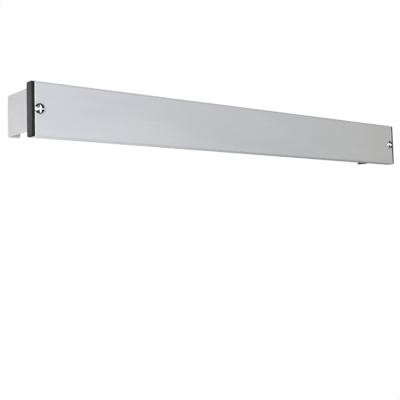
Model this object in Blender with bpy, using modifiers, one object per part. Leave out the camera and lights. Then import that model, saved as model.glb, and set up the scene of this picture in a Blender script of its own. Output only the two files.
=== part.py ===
"""Wall coat hook rail: an aluminium front panel that stands off the wall on two bent brackets.

The hooks hide behind the panel. Each one is clamped to a nut that slides in a channel on the panel's back.
X runs along the rail, +Y points into the wall, and Z is up. The origin lies on the wall plane, at mid length
and level with the channel.
"""
import math

import bmesh
import bpy

MM = 0.001

# Gap left between pieces that touch
SEAT_GAP = 0.3 * MM
# Play of a shank in its hole, on the diameter
HOLE_PLAY = 0.6 * MM
# How far a cutter runs past the face it cuts
CUT_PAST = 2.0 * MM
# Points closer than this are one point
WELD = 0.01 * MM

# Front panel
PANEL_LENGTH = 990.0 * MM
PANEL_HEIGHT = 97.0 * MM
PANEL_DEPTH = 20.5 * MM
PANEL_WALL = 2.0 * MM
PANEL_CORNER_RADIUS = 1.5 * MM
LIP_RETURN = 1.0 * MM
# From the wall to the panel's front face
STAND_OFF = 113.0 * MM

# Channel along the back of the panel
CHANNEL_MOUTH = 7.0 * MM
CHANNEL_HEIGHT = 13.0 * MM
CHANNEL_DEPTH = 5.0 * MM
CHANNEL_WALL = 2.0 * MM

# Round ports in the panel's corners that take the pegs of the end caps
PEG_DIAMETER = 4.0 * MM
PEG_LENGTH = 14.0 * MM
PORT_WALL = 1.4 * MM

# End caps
CAP_THICKNESS = 4.7 * MM
CAP_CORNER_RADIUS = 3.0 * MM
CAP_EDGE_RADIUS = 0.6 * MM

# Wall brackets, bent from sheet
SHEET = 2.5 * MM
BEND_RADIUS = 1.0 * MM
BRACKET_HEIGHT = 76.5 * MM
# Room between the left bracket's top and the panel's lip
LEFT_BRACKET_ROOM = 4.7 * MM
# Length of the slot for the panel's screw beyond what the two brackets' heights need
SLOT_SPARE = 2.6 * MM
# From the panel's end to the bracket's outer face
BRACKET_INSET = 0.5 * MM
WALL_FLANGE = 24.5 * MM
FRONT_FLANGE = 22.0 * MM
FLANGE_CORNER_RADIUS = 4.0 * MM
WALL_HOLE_DIAMETER = 6.5 * MM
WALL_HOLE_SPACING = 50.0 * MM

# Screws that hold the panel on its brackets
PANEL_SCREW_DIAMETER = 6.0 * MM
PANEL_SCREW_TAIL = 1.5 * MM
PANEL_HEAD_DIAMETER = 19.0 * MM
PANEL_HEAD_RIM = 1.3 * MM
PANEL_HEAD_CROWN = 1.7 * MM
RECESS_REACH = 7.2 * MM
RECESS_ROOT_WIDTH = 3.4 * MM
RECESS_TIP_WIDTH = 1.5 * MM
RECESS_DEPTH = 1.8 * MM
PANEL_WASHER_DIAMETER = 11.0 * MM
# Room between the washer and the bend of the bracket
PANEL_WASHER_CLEAR = 0.5 * MM
PANEL_WASHER_THICKNESS = 1.6 * MM
PANEL_NUT_WIDTH = 10.0 * MM
PANEL_NUT_THICKNESS = 5.0 * MM

# Hooks
HOOK_COUNT = 7
# From the panel's end to the middle of the first or last hook
HOOK_END_INSET = 75.0 * MM
HOOK_PLATE_WIDTH = 15.0 * MM
HOOK_PLATE_THICKNESS = 3.5 * MM
# From the back of the plate to the back of the tip
HOOK_REACH = 40.0 * MM
HOOK_WIDTH = 7.0 * MM
HOOK_ARM_HEIGHT = 6.8 * MM
HOOK_TIP_THICKNESS = 6.4 * MM
HOOK_TIP_HEIGHT = 28.0 * MM
HOOK_SEAT_RADIUS = 12.0 * MM
HOOK_HEEL_RADIUS = 2.0 * MM
# How far the underside of the arm rises on its way to the heel
HOOK_ARM_RISE = 1.6 * MM
HOOK_EDGE_RADIUS = 1.0 * MM
# From the lower to the upper of the plate's two holes
HOOK_HOLE_STEP = 12.0 * MM
# Height of the plate's lower edge over the rib's root
HOOK_PLATE_FOOT = 2.0 * MM
# Rounds of the step where the rib drops behind the panel's lip
HOOK_DROP_RADIUS = 1.5 * MM
# Room between a hook and the panel's lip
LIP_CLEAR = 1.5 * MM
# Room between the rib and the head of the clamping screw
HOOK_HEAD_CLEAR = 1.2 * MM
# The hook at the right end hangs by its upper hole, so it sits one step lower than the others
LOW_HOOK = 7
# How far that hook comes below the panel's lower edge
LOW_HOOK_DROP = 0.3 * MM

# What clamps a hook in the channel
HOOK_SCREW_DIAMETER = 5.0 * MM
HOOK_HEAD_DIAMETER = 9.0 * MM
HOOK_HEAD_RIM = 1.6 * MM
HOOK_HEAD_CROWN = 1.4 * MM
HOOK_NUT_LENGTH = 14.0 * MM

# Flats that stand for a round: a small corner, a bend, a hole, a bore or peg, a washer, the screw heads, and
# the hook's edges, tip, seat and plate
CORNER_STEPS = 4
BEND_STEPS = 5
HOLE_STEPS = 20
BORE_STEPS = 16
WASHER_STEPS = 24
PANEL_HEAD_STEPS = 32
HOOK_HEAD_STEPS = 16
EDGE_STEPS = 2
HOOK_TIP_STEPS = 6
HOOK_SEAT_STEPS = 10
HOOK_PLATE_STEPS = 8
# Edges that turn by more than this many degrees are rounded, or shaded sharp
ROUND_ANGLE = 60
SHARP_ANGLE = 35

# Planes that pieces share, from the front to the wall
FRONT_Y = -STAND_OFF
FLOOR_Y = FRONT_Y + PANEL_WALL
CHANNEL_Y = FLOOR_Y + CHANNEL_DEPTH + CHANNEL_WALL
BACK_Y = FRONT_Y + PANEL_DEPTH
SEAT_Y = CHANNEL_Y + SEAT_GAP
PANEL_END = PANEL_LENGTH / 2
PANEL_HALF_HEIGHT = PANEL_HEIGHT / 2
PORT_DIAMETER = PEG_DIAMETER + HOLE_PLAY
PORT_INSET = PANEL_WALL + PORT_DIAMETER / 2
BRACKET_FACE = PANEL_END - BRACKET_INSET
# Height of each bracket's middle over the channel. The right one is screwed to the wall a little higher,
# with its top close under the panel's lip.
HIGHEST_RISE = PANEL_HALF_HEIGHT - PANEL_WALL - LIP_RETURN - BRACKET_HEIGHT / 2
LEFT_BRACKET_RISE = HIGHEST_RISE - LEFT_BRACKET_ROOM
RIGHT_BRACKET_RISE = HIGHEST_RISE - SEAT_GAP
SLOT_TRAVEL = RIGHT_BRACKET_RISE - LEFT_BRACKET_RISE + SLOT_SPARE
BEND_DEPTH = SHEET + BEND_RADIUS
BEND_MIDDLE = BEND_RADIUS + SHEET / 2
SCREW_X = BRACKET_FACE - BEND_DEPTH - PANEL_WASHER_CLEAR - PANEL_WASHER_DIAMETER / 2
# Straight lengths of the bracket, and the length of its flat blank
WALL_FLAT = WALL_FLANGE - BEND_DEPTH
SIDE_FLAT = -SEAT_Y - 2 * BEND_DEPTH
FRONT_FLAT = FRONT_FLANGE - BEND_DEPTH
BEND_LENGTH = BEND_MIDDLE * math.pi / 2
BLANK_LENGTH = WALL_FLAT + SIDE_FLAT + FRONT_FLAT + 2 * BEND_LENGTH
HOOK_PITCH = (PANEL_LENGTH - 2 * HOOK_END_INSET) / (HOOK_COUNT - 1)
HOOK_HOLE_HEIGHT = PANEL_HALF_HEIGHT + LOW_HOOK_DROP - HOOK_HOLE_STEP
HOOK_ROOT_HEIGHT = PANEL_WALL + LIP_RETURN + LIP_CLEAR + LOW_HOOK_DROP
HOOK_DROP_START = BACK_Y + LIP_CLEAR - SEAT_Y
SIDES = (("left", -1), ("right", 1))

FACE_YZ = (math.pi / 2, 0, math.pi / 2)
FACE_XZ = (math.pi / 2, 0, 0)


def arc(centre, radius, start, end, steps):
    """Points on an arc from one angle to another, in degrees."""
    points = []
    for step in range(steps + 1):
        angle = math.radians(start + (end - start) * step / steps)
        points.append((centre[0] + radius * math.cos(angle), centre[1] + radius * math.sin(angle)))
    return points


def circle(centre, radius, steps):
    """Points round a full circle."""
    return arc(centre, radius, 0, 360, steps)[:-1]


def rounded_box(left, low, right, high, radii, steps):
    """Outline of a rectangle whose corners, from the lower left round to the upper left, have these radii."""
    corners = ((left, low), (right, low), (right, high), (left, high))
    inward = ((1, 1), (-1, 1), (-1, -1), (1, -1))
    points = []
    for index, (corner, turn, radius) in enumerate(zip(corners, inward, radii)):
        if radius == 0:
            points.append(corner)
            continue
        centre = (corner[0] + turn[0] * radius, corner[1] + turn[1] * radius)
        start = 180 + 90 * index
        points += arc(centre, radius, start, start + 90, steps)
    return points


def link(obj, collection):
    """Put an object in one collection."""
    for other in obj.users_collection:
        other.objects.unlink(obj)
    collection.objects.link(obj)
    return obj


def mesh_object(name, mesh, collection):
    """A new object on a mesh."""
    return link(bpy.data.objects.new(name, mesh), collection)


def baked(obj):
    """The evaluated mesh of an object, welded, with the object itself removed."""
    bpy.context.view_layer.update()
    graph = bpy.context.evaluated_depsgraph_get()
    mesh = bpy.data.meshes.new_from_object(obj.evaluated_get(graph))
    matrix = obj.matrix_world.copy()
    bpy.data.objects.remove(obj)
    body = bmesh.new()
    body.from_mesh(mesh)
    bmesh.ops.remove_doubles(body, verts=body.verts, dist=WELD)
    bmesh.ops.recalc_face_normals(body, faces=body.faces)
    body.to_mesh(mesh)
    body.free()
    mesh.transform(matrix)
    return mesh


def plate(loops, thickness, rotation, location):
    """Mesh of a flat outline with holes, as thick as asked and centred on its own plane."""
    curve = bpy.data.curves.new("outline", "CURVE")
    curve.dimensions = "2D"
    curve.fill_mode = "BOTH"
    curve.extrude = thickness / 2
    for loop in loops:
        spline = curve.splines.new("POLY")
        spline.points.add(len(loop) - 1)
        for point, (u, v) in zip(spline.points, loop):
            point.co = (u, v, 0, 1)
        spline.use_cyclic_u = True
    obj = mesh_object("outline", curve, PARTS)
    obj.rotation_euler = rotation
    obj.location = location
    return baked(obj)


def turned(profile, steps):
    """Mesh of a profile of (radius, height) points, top to bottom, turned about Z."""
    mesh = bpy.data.meshes.new("profile")
    points = [(radius, 0, height) for radius, height in profile]
    edges = [(index, index + 1) for index in range(len(points) - 1)]
    mesh.from_pydata(points, edges, [])
    obj = mesh_object("profile", mesh, PARTS)
    screw = obj.modifiers.new("turn", "SCREW")
    screw.steps = steps
    screw.render_steps = steps
    screw.use_merge_vertices = True
    screw.merge_threshold = WELD
    return baked(obj)


def cutter(name, mesh):
    """A hidden object for a Boolean."""
    obj = mesh_object(name, mesh, CUTTERS)
    obj.hide_render = True
    obj.display_type = "WIRE"
    return obj


def boolean(obj, other, operation):
    """Cut an object with another, join it to it, or keep what they share."""
    modifier = obj.modifiers.new(other.name, "BOOLEAN")
    modifier.operation = operation
    modifier.solver = "EXACT"
    modifier.object = other


def bevel(obj, width):
    """Round the edges of an object."""
    modifier = obj.modifiers.new("round_edges", "BEVEL")
    modifier.width = width
    modifier.segments = EDGE_STEPS
    modifier.limit_method = "ANGLE"
    modifier.angle_limit = math.radians(ROUND_ANGLE)


def finish(mesh, material):
    """Give a mesh its material and smooth shading with sharp edges kept."""
    mesh.materials.clear()
    mesh.materials.append(material)
    mesh.shade_smooth()
    mesh.set_sharp_from_angle(angle=math.radians(SHARP_ANGLE))


def paint(name, colour, roughness, metallic):
    """A plain Principled material."""
    material = bpy.data.materials.new(name)
    material.use_nodes = True
    shader = material.node_tree.nodes["Principled BSDF"]
    shader.inputs["Base Color"].default_value = (*colour, 1)
    shader.inputs["Roughness"].default_value = roughness
    shader.inputs["Metallic"].default_value = metallic
    return material


def panel_half():
    """Upper half of the panel's section from the mouth of the channel round to the front, as (y, z) points."""
    mouth = CHANNEL_MOUTH / 2
    inner = CHANNEL_HEIGHT / 2
    outer = inner + CHANNEL_WALL
    top = PANEL_HALF_HEIGHT
    under = top - PANEL_WALL
    port_side = FRONT_Y + PORT_INSET + PORT_DIAMETER / 2 + PORT_WALL
    port_low = top - PORT_INSET - PORT_DIAMETER / 2 - PORT_WALL
    points = [(FLOOR_Y, 0), (FLOOR_Y, inner), (FLOOR_Y + CHANNEL_DEPTH, inner)]
    points += [(FLOOR_Y + CHANNEL_DEPTH, mouth), (CHANNEL_Y, mouth), (CHANNEL_Y, outer), (FLOOR_Y, outer)]
    points += [(FLOOR_Y, port_low), (port_side, port_low), (port_side, under)]
    points += [(BACK_Y - PANEL_WALL, under), (BACK_Y - PANEL_WALL, under - LIP_RETURN)]
    points += [(BACK_Y, under - LIP_RETURN)]
    radius = PANEL_CORNER_RADIUS
    points += arc((BACK_Y - radius, top - radius), radius, 0, 90, CORNER_STEPS)
    points += arc((FRONT_Y + radius, top - radius), radius, 90, 180, CORNER_STEPS)
    return points


def panel_section():
    """The panel's section: an outline that is the same above and below, and one round port in each half."""
    upper = panel_half()
    lower = [(y, -z) for y, z in reversed(upper[1:])]
    port = (FRONT_Y + PORT_INSET, PANEL_HALF_HEIGHT - PORT_INSET)
    loops = [upper + lower]
    for sign in (1, -1):
        loops.append(circle((port[0], sign * port[1]), PORT_DIAMETER / 2, BORE_STEPS))
    return loops


def make_panel(material):
    """The extruded panel, with a hole near each end for the screw that holds it."""
    mesh = plate(panel_section(), PANEL_LENGTH, FACE_YZ, (0, 0, 0))
    finish(mesh, material)
    panel = mesh_object("front_panel", mesh, PARTS)
    for side, sign in SIDES:
        hole = circle((sign * SCREW_X, 0), (PANEL_SCREW_DIAMETER + HOLE_PLAY) / 2, HOLE_STEPS)
        depth = PANEL_WALL + 2 * CUT_PAST
        middle = (0, FRONT_Y + PANEL_WALL / 2, 0)
        boolean(panel, cutter("panel_hole_" + side, plate([hole], depth, FACE_XZ, middle)), "DIFFERENCE")


def make_caps(material):
    """Two like mouldings, each a rounded plate with two pegs that push into the panel's ports."""
    radii = (CAP_CORNER_RADIUS, CAP_CORNER_RADIUS, CAP_CORNER_RADIUS, CAP_CORNER_RADIUS)
    half = PANEL_HALF_HEIGHT
    outline = rounded_box(FRONT_Y, -half, BACK_Y, half, radii, CORNER_STEPS)
    inner = PANEL_END + SEAT_GAP
    middle = inner + CAP_THICKNESS / 2
    shell = mesh_object("cap", plate([outline], CAP_THICKNESS, FACE_YZ, (middle, 0, 0)), PARTS)
    bevel(shell, CAP_EDGE_RADIUS)
    cap = mesh_object("cap", baked(shell), PARTS)
    for sign in (1, -1):
        place = (FRONT_Y + PORT_INSET, sign * (half - PORT_INSET))
        root = CAP_THICKNESS / 2
        centre = (inner + (root - PEG_LENGTH) / 2, 0, 0)
        peg = plate([circle(place, PEG_DIAMETER / 2, BORE_STEPS)], PEG_LENGTH + root, FACE_YZ, centre)
        boolean(cap, cutter("cap_peg", peg), "UNION")
    mesh = baked(cap)
    finish(mesh, material)
    for side, sign in SIDES:
        obj = mesh_object("end_cap_" + side, mesh, PARTS)
        obj.rotation_euler = (0, 0 if sign > 0 else math.pi, 0)


def bracket_blank():
    """The bracket's flat blank, with two holes for the wall and a slot for the panel's screw.

    It lies along X from the free edge of the wall flange to that of the front flange.
    """
    half = BRACKET_HEIGHT / 2
    corner = FLANGE_CORNER_RADIUS
    loops = [rounded_box(0, -half, BLANK_LENGTH, half, (corner, corner, corner, corner), CORNER_STEPS)]
    for height in (WALL_HOLE_SPACING / 2, -WALL_HOLE_SPACING / 2):
        loops.append(circle((WALL_FLAT / 2, height), WALL_HOLE_DIAMETER / 2, HOLE_STEPS))
    bore = (PANEL_SCREW_DIAMETER + HOLE_PLAY) / 2
    screw = BLANK_LENGTH - SCREW_X + BRACKET_FACE - FRONT_FLANGE
    middle = -(LEFT_BRACKET_RISE + RIGHT_BRACKET_RISE) / 2
    reach = SLOT_TRAVEL / 2 + bore
    radii = (bore, bore, bore, bore)
    loops.append(rounded_box(screw - bore, middle - reach, screw + bore, middle + reach, radii, CORNER_STEPS))
    return plate(loops, SHEET, (0, 0, 0), (0, 0, 0))


def folded(along, over):
    """Where a point of the blank, so far along it and so far over its middle, lies after both bends."""
    bend_x = BRACKET_FACE - BEND_DEPTH
    side = along - WALL_FLAT - BEND_LENGTH
    front = side - SIDE_FLAT - BEND_LENGTH
    if along <= WALL_FLAT:
        return bend_x - WALL_FLAT + along, over - SHEET / 2
    if front >= 0:
        return bend_x - front, SEAT_Y + SHEET / 2 - over
    radius = BEND_MIDDLE + over
    if side < 0:
        angle = -side / BEND_MIDDLE
        return bend_x + radius * math.cos(angle), radius * math.sin(angle) - BEND_DEPTH
    if side > SIDE_FLAT:
        angle = (SIDE_FLAT - side) / BEND_MIDDLE
        return bend_x + radius * math.cos(angle), radius * math.sin(angle) + SEAT_Y + BEND_DEPTH
    return bend_x + radius, -BEND_DEPTH - side


def make_bracket(side, sign, material):
    """One wall bracket: the blank scored across where it bends, then folded."""
    rise = LEFT_BRACKET_RISE if sign < 0 else RIGHT_BRACKET_RISE
    mesh = bracket_blank()
    body = bmesh.new()
    body.from_mesh(mesh)
    for start in (WALL_FLAT, WALL_FLAT + BEND_LENGTH + SIDE_FLAT):
        for step in range(BEND_STEPS + 1):
            score = (start + BEND_LENGTH * step / BEND_STEPS, 0, 0)
            everything = body.verts[:] + body.edges[:] + body.faces[:]
            bmesh.ops.bisect_plane(body, geom=everything, dist=WELD, plane_co=score, plane_no=(1, 0, 0))
    for vertex in body.verts:
        along, height, over = vertex.co
        x, y = folded(along, over)
        vertex.co = (sign * x, y, height + rise)
    bmesh.ops.recalc_face_normals(body, faces=body.faces)
    body.to_mesh(mesh)
    body.free()
    finish(mesh, material)
    mesh_object("wall_bracket_" + side, mesh, PARTS)


def screw_profile(head_radius, rim, crown, shank_radius, length):
    """Profile of a domed screw with the underside of its head at height 0."""
    points = []
    for step in range(CORNER_STEPS + 1):
        share = step / CORNER_STEPS
        points.append((head_radius * share, rim + crown * (1 - share * share)))
    points += [(head_radius, 0), (shank_radius, 0), (shank_radius, -length), (0, -length)]
    return points


def cross_outline():
    """A cross whose four arms narrow towards their ends."""
    root = RECESS_ROOT_WIDTH / 2
    tip = RECESS_TIP_WIDTH / 2
    points = []
    for quarter in range(4):
        turn = math.radians(90 * quarter)
        for along, across in ((root, -root), (RECESS_REACH, -tip), (RECESS_REACH, tip)):
            x = along * math.cos(turn) - across * math.sin(turn)
            y = along * math.sin(turn) + across * math.cos(turn)
            points.append((x, y))
    return points


def make_panel_fixings(material):
    """The screw, washer and nut that hold the panel at each end."""
    washer_y = SEAT_Y + SHEET + SEAT_GAP
    nut_y = washer_y + PANEL_WASHER_THICKNESS + SEAT_GAP
    head_y = FRONT_Y - SEAT_GAP
    shank = nut_y + PANEL_NUT_THICKNESS + PANEL_SCREW_TAIL - head_y
    bore = (PANEL_SCREW_DIAMETER + HOLE_PLAY) / 2
    head = (PANEL_HEAD_DIAMETER / 2, PANEL_HEAD_RIM, PANEL_HEAD_CROWN)
    profile = screw_profile(*head, PANEL_SCREW_DIAMETER / 2, shank)
    blank = mesh_object("screw", turned(profile, PANEL_HEAD_STEPS), PARTS)
    floor = PANEL_HEAD_RIM + PANEL_HEAD_CROWN - RECESS_DEPTH
    depth = RECESS_DEPTH + CUT_PAST
    recess = plate([cross_outline()], depth, (0, 0, 0), (0, 0, floor + depth / 2))
    boolean(blank, cutter("panel_screw_recess", recess), "DIFFERENCE")
    screw = baked(blank)
    ring = [circle((0, 0), PANEL_WASHER_DIAMETER / 2, WASHER_STEPS), circle((0, 0), bore, BORE_STEPS)]
    washer = plate(ring, PANEL_WASHER_THICKNESS, FACE_XZ, (0, 0, 0))
    hexagon = [circle((0, 0), PANEL_NUT_WIDTH / math.sqrt(3), 6), circle((0, 0), bore, BORE_STEPS)]
    nut = plate(hexagon, PANEL_NUT_THICKNESS, FACE_XZ, (0, 0, 0))
    for mesh in (screw, washer, nut):
        finish(mesh, material)
    for side, sign in SIDES:
        obj = mesh_object("panel_screw_" + side, screw, PARTS)
        obj.rotation_euler = FACE_XZ
        obj.location = (sign * SCREW_X, head_y, 0)
        obj = mesh_object("panel_washer_" + side, washer, PARTS)
        obj.location = (sign * SCREW_X, washer_y + PANEL_WASHER_THICKNESS / 2, 0)
        obj = mesh_object("panel_nut_" + side, nut, PARTS)
        obj.location = (sign * SCREW_X, nut_y + PANEL_NUT_THICKNESS / 2, 0)


def hook_outline():
    """Side view of the hook's rib, as (distance from the plate's back, height over the underside) points."""
    heel = HOOK_HEEL_RADIUS
    tip = HOOK_TIP_THICKNESS / 2
    tip_top = HOOK_TIP_HEIGHT - tip
    seat = (HOOK_REACH - HOOK_TIP_THICKNESS - HOOK_SEAT_RADIUS, HOOK_ARM_HEIGHT + HOOK_SEAT_RADIUS)
    shoulder_width = seat[0] - HOOK_SEAT_RADIUS - HOOK_PLATE_THICKNESS
    shoulder_height = HOOK_HOLE_HEIGHT - HOOK_HEAD_DIAMETER / 2 - HOOK_HEAD_CLEAR - seat[1]
    root = HOOK_PLATE_THICKNESS / 2
    drop = HOOK_DROP_RADIUS
    points = [(root, HOOK_ROOT_HEIGHT)]
    points += arc((HOOK_DROP_START - drop, HOOK_ROOT_HEIGHT - drop), drop, 90, 0, CORNER_STEPS)
    points += arc((HOOK_DROP_START + drop, drop), drop, 180, 270, CORNER_STEPS)
    points += arc((HOOK_REACH - heel, HOOK_ARM_RISE + heel), heel, -90, 0, CORNER_STEPS)
    points += arc((HOOK_REACH - tip, tip_top), tip, 0, 180, HOOK_TIP_STEPS)
    points += arc(seat, HOOK_SEAT_RADIUS, 0, -180, HOOK_SEAT_STEPS)
    for across, up in arc((0, 0), 1, 0, 90, CORNER_STEPS)[1:]:
        points.append((HOOK_PLATE_THICKNESS + shoulder_width * across, seat[1] + shoulder_height * up))
    points.append((root, points[-1][1]))
    return points


def hook_mesh():
    """A cast hook: a plate with two holes and a curved rib, with its lower hole at the origin."""
    lower = -HOOK_HOLE_HEIGHT
    rib = mesh_object("rib", plate([hook_outline()], HOOK_WIDTH, FACE_YZ, (0, 0, lower)), PARTS)
    bevel(rib, HOOK_EDGE_RADIUS)
    half = HOOK_PLATE_WIDTH / 2
    top = HOOK_HOLE_STEP + half
    foot = HOOK_EDGE_RADIUS
    low = lower + HOOK_ROOT_HEIGHT + HOOK_PLATE_FOOT
    outline = rounded_box(-half, low, half, top, (foot, foot, half, half), HOOK_PLATE_STEPS)
    middle = (0, HOOK_PLATE_THICKNESS / 2, 0)
    hook = mesh_object("hook", plate([outline], HOOK_PLATE_THICKNESS, FACE_XZ, middle), PARTS)
    boolean(hook, cutter("hook_rib", baked(rib)), "UNION")
    bore = (HOOK_SCREW_DIAMETER + HOLE_PLAY) / 2
    for name, z in (("low", 0), ("high", HOOK_HOLE_STEP)):
        mesh = plate([circle((0, z), bore, BORE_STEPS)], HOOK_PLATE_THICKNESS + 2 * CUT_PAST, FACE_XZ, middle)
        boolean(hook, cutter("hook_hole_" + name, mesh), "DIFFERENCE")
    return baked(hook)


def hook_nut_mesh():
    """A block that slides in the channel, with a bore for the hook's screw."""
    half = HOOK_NUT_LENGTH / 2
    height = CHANNEL_HEIGHT / 2 - SEAT_GAP
    corner = SEAT_GAP
    outline = rounded_box(-half, -height, half, height, (corner, corner, corner, corner), 1)
    bore = circle((0, 0), (HOOK_SCREW_DIAMETER + HOLE_PLAY) / 2, BORE_STEPS)
    middle = FLOOR_Y + CHANNEL_DEPTH / 2 - SEAT_Y
    return plate([outline, bore], CHANNEL_DEPTH - 2 * SEAT_GAP, FACE_XZ, (0, middle, 0))


def make_hooks(hook_material, screw_material):
    """The row of hooks, each with its nut and screw on an empty that marks where it slides."""
    head_y = HOOK_PLATE_THICKNESS + SEAT_GAP
    shank = head_y + SEAT_Y - FLOOR_Y - 2 * SEAT_GAP
    head = (HOOK_HEAD_DIAMETER / 2, HOOK_HEAD_RIM, HOOK_HEAD_CROWN)
    profile = screw_profile(*head, HOOK_SCREW_DIAMETER / 2, shank)
    hook = hook_mesh()
    screw = turned(profile, HOOK_HEAD_STEPS)
    nut = hook_nut_mesh()
    finish(hook, hook_material)
    finish(screw, screw_material)
    finish(nut, screw_material)
    for number in range(1, HOOK_COUNT + 1):
        slide = mesh_object("hook_slide_%d" % number, None, PARTS)
        slide.location = ((number - (HOOK_COUNT + 1) / 2) * HOOK_PITCH, SEAT_Y, 0)
        drop = HOOK_HOLE_STEP if number == LOW_HOOK else 0
        obj = mesh_object("hook_%d" % number, hook, PARTS)
        obj.location = (0, 0, -drop)
        obj.parent = slide
        obj = mesh_object("hook_nut_%d" % number, nut, PARTS)
        obj.parent = slide
        obj = mesh_object("hook_screw_%d" % number, screw, PARTS)
        obj.location = (0, head_y, 0)
        obj.rotation_euler = (-math.pi / 2, 0, 0)
        obj.parent = slide


for old in list(bpy.data.objects):
    bpy.data.objects.remove(old)
PARTS = bpy.data.collections.new("wall_coat_hook_rail")
CUTTERS = bpy.data.collections.new("cutters")
for group in (PARTS, CUTTERS):
    bpy.context.scene.collection.children.link(group)

SILVER = paint("silver_aluminium", (0.62, 0.63, 0.66), 0.38, 0.6)
BLACK_PLASTIC = paint("black_plastic", (0.035, 0.035, 0.036), 0.45, 0.0)
GREY_PAINT = paint("light_grey_paint", (0.6, 0.6, 0.61), 0.45, 0.0)
CHROME = paint("chrome", (0.55, 0.56, 0.57), 0.15, 1.0)
BLACK_PAINT = paint("black_paint", (0.012, 0.012, 0.012), 0.4, 0.0)
ZINC = paint("zinc_steel", (0.5, 0.5, 0.52), 0.35, 1.0)

make_panel(SILVER)
make_caps(BLACK_PLASTIC)
for bracket_side, bracket_sign in SIDES:
    make_bracket(bracket_side, bracket_sign, GREY_PAINT)
make_panel_fixings(CHROME)
make_hooks(BLACK_PAINT, ZINC)
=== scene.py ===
import math

import bmesh
import bpy
import numpy as np
from mathutils import Euler, Matrix, Vector


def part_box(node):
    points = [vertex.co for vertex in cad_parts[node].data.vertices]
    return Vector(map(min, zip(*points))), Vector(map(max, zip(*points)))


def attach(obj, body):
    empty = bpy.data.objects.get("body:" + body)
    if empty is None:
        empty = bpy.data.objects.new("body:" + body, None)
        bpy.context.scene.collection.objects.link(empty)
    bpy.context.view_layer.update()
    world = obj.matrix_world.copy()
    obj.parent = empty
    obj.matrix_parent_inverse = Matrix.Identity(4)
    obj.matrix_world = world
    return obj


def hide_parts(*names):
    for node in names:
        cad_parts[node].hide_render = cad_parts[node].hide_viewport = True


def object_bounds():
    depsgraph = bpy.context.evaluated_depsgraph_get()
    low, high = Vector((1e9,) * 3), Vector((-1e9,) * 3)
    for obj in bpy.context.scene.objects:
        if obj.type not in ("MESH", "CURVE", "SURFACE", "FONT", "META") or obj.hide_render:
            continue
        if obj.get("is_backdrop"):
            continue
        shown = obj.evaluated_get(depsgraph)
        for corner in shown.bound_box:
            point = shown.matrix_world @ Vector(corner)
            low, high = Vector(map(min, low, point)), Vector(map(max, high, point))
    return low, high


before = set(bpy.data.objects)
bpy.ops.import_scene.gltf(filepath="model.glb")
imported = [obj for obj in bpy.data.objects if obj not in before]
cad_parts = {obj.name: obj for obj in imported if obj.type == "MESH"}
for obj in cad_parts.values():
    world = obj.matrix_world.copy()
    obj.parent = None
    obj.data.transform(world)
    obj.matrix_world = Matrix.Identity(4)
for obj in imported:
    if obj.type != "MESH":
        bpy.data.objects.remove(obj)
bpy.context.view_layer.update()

# The front panel is an aluminium extrusion with a channel for sliding nuts and ports for the caps' pegs,
# sawn to length and anodised satin silver. The die leaves faint lines along it, its lower edge and a line
# under the upper edge carry painted shade, its ends were dressed bright, and painted shade lies in the seams.
panel_silver = (0.585, 0.592, 0.622)
panel_pale = (0.640, 0.647, 0.676)
panel_edge_shade = (0.46, 0.465, 0.49)
panel_bright = (0.90, 0.905, 0.92)
panel_seam_shade = (0.03, 0.029, 0.028)
panel_low, panel_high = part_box("front_panel")
panel_wall = 0.002
panel_corner = 0.0015
panel_lip = 0.001
die_corner = 0.0004
die_corner_steps = 6
panel_stations = 12
channel_depth = 0.005
channel_half = 0.0065
channel_mouth = 0.0035
port_radius = 0.0023
port_inset = 0.0043
port_wall = 0.0014
panel_hole = 0.0033
bar_points = 48
# Depths under the upper edge at which its line of painted shade begins, is full, starts to fade and is gone
edge_line = (0.0042, 0.0026, 0.0014, 0.0004)
# Widths of the painted shade on the lower edge, the bright ends and the painted shade in the seams, and each
# one's share at full colour
edge_width = 0.0024
edge_core = 1 / 3
end_width = 0.0024
end_core = 0.8
seam_left = 0.0008
seam_right = 0.001
seam_core = 0.6
# Points closer than this are one point, and edges that turn by more degrees than this are shaded sharp
weld_gap = 0.000002
sharp_turn = 35
# Places of the two colours and of their mix among a Mix node's sockets
mix_first, mix_second, mix_result = 6, 7, 2


def new_finish(name, metallic, specular):
    """A material with one Principled shader, whose constant metallic and specular are set on its sockets."""
    finish = bpy.data.materials.new(name)
    finish.use_nodes = True
    shader = finish.node_tree.nodes["Principled BSDF"]
    shader.inputs["Metallic"].default_value = metallic
    shader.inputs["Specular IOR Level"].default_value = specular
    return finish, finish.node_tree, shader


def place_in_part(tree, scale, turn=(0, 0, 0)):
    """A point of the part in metres, stretched by scale and turned, as the vector that a texture reads."""
    where = tree.nodes.new("ShaderNodeTexCoord")
    mapping = tree.nodes.new("ShaderNodeMapping")
    mapping.inputs["Scale"].default_value = scale
    mapping.inputs["Rotation"].default_value = turn
    tree.links.new(where.outputs["Object"], mapping.inputs["Vector"])
    return mapping.outputs["Vector"]


def noise(tree, bumps, detail, turn=(0, 0, 0)):
    """Fractal noise from 0 to 1, with so many bumps to the metre along each axis."""
    texture = tree.nodes.new("ShaderNodeTexNoise")
    texture.inputs["Scale"].default_value = 1.0
    texture.inputs["Detail"].default_value = detail
    tree.links.new(place_in_part(tree, bumps, turn), texture.inputs["Vector"])
    return texture.outputs["Fac"]


def spread(tree, value, span, onto):
    """A value carried smoothly from one span of numbers onto another, and held at that one's ends."""
    ramp_node = tree.nodes.new("ShaderNodeMapRange")
    ramp_node.interpolation_type = "SMOOTHSTEP"
    tree.links.new(value, ramp_node.inputs["Value"])
    for socket, number in zip(("From Min", "From Max", "To Min", "To Max"), (*span, *onto)):
        ramp_node.inputs[socket].default_value = number
    return ramp_node.outputs["Result"]


def combine(tree, operation, first, second):
    """Two values joined by a sum, product, largest or like step. Either may be a plain number."""
    step = tree.nodes.new("ShaderNodeMath")
    step.operation = operation
    for socket, value in zip(step.inputs, (first, second)):
        if isinstance(value, float):
            socket.default_value = value
        else:
            tree.links.new(value, socket)
    return step.outputs["Value"]


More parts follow.
